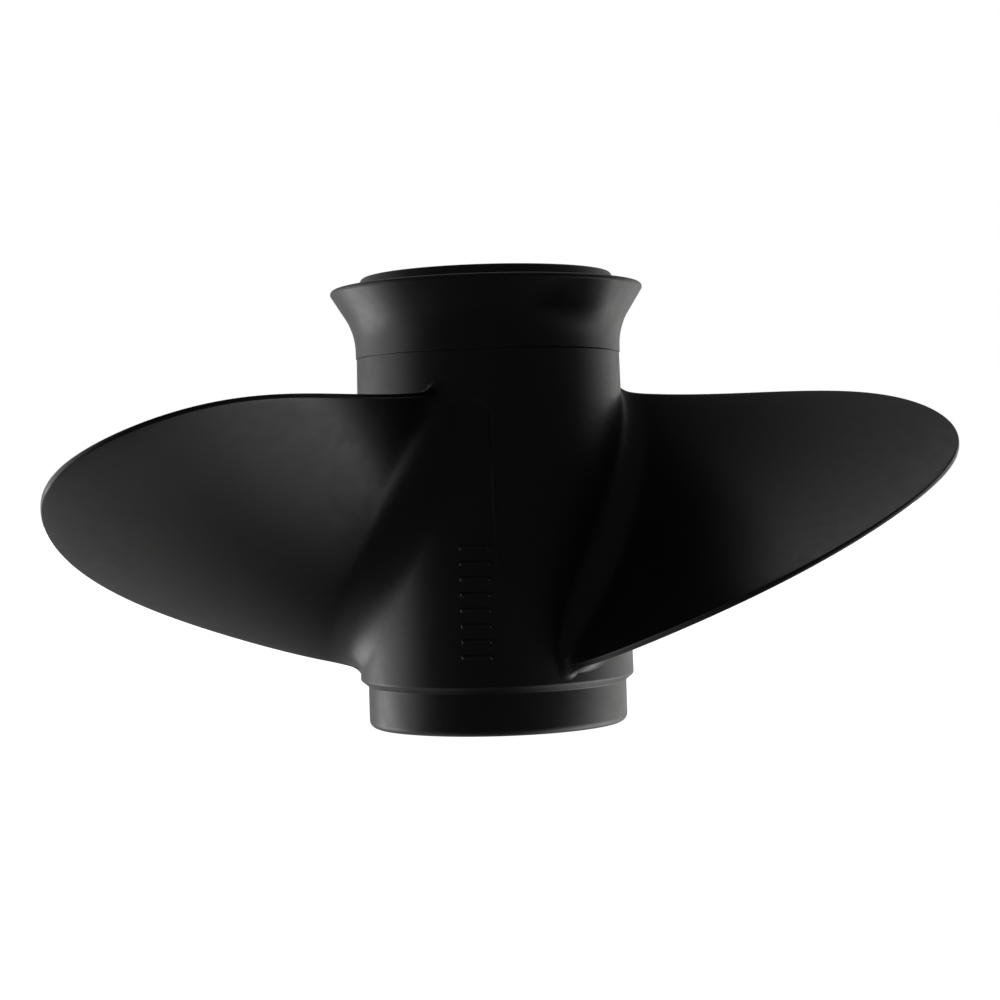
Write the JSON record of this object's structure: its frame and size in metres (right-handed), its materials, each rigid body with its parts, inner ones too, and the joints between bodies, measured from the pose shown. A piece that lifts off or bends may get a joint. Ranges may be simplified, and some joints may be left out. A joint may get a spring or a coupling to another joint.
{
  "type": "boat propeller",
  "caption": "Right-hand through-hub-exhaust boat propeller with three broad raked blades, flared diffuser ring, rubber bush and splined sleeve.",
  "frame": {"origin": "on the shaft axis, at the forward end of the splined sleeve's pilot bore, level with the hub's forward face", "axes": "+Z along the shaft axis towards the flared aft end; the first blade's root points 333.5 degrees about +Z from +X, and the others follow every 120 degrees"},
  "size_m": [0.2569, 0.2393, 0.1362],
  "materials": {
    "black_casting": "satin black coating on cast aluminium",
    "black_ring": "satin black coating",
    "bush_rubber": "matte black rubber",
    "sleeve_bronze": "machined bronze"
  },
  "bodies": {
    "shaft_sleeve": {"spline_sleeve": "sleeve_bronze"},
    "bush": {"rubber_bush": "bush_rubber"},
    "bladed_hub": {"hub_barrel": "black_casting", "diffuser_ring": "black_ring", "inner_hub": "black_casting", "rib_1": "black_casting", "rib_2": "black_casting", "rib_3": "black_casting", "blade_1": "black_casting", "blade_2": "black_casting", "blade_3": "black_casting", "size_mark": "black_casting"}
  },
  "joints": [
    {"name": "bush_twist", "type": "hinge", "parent": "shaft_sleeve", "child": "bush", "pos_m": [0, 0, 0.056], "axis": [0, 0, 1], "range_deg": [-10, 10], "stiffness_Nm_per_rad": 600},
    {"name": "bush_slip", "type": "hinge", "parent": "bush", "child": "bladed_hub", "pos_m": [0, 0, 0.056], "axis": [0, 0, 1], "continuous": true}
  ]
}
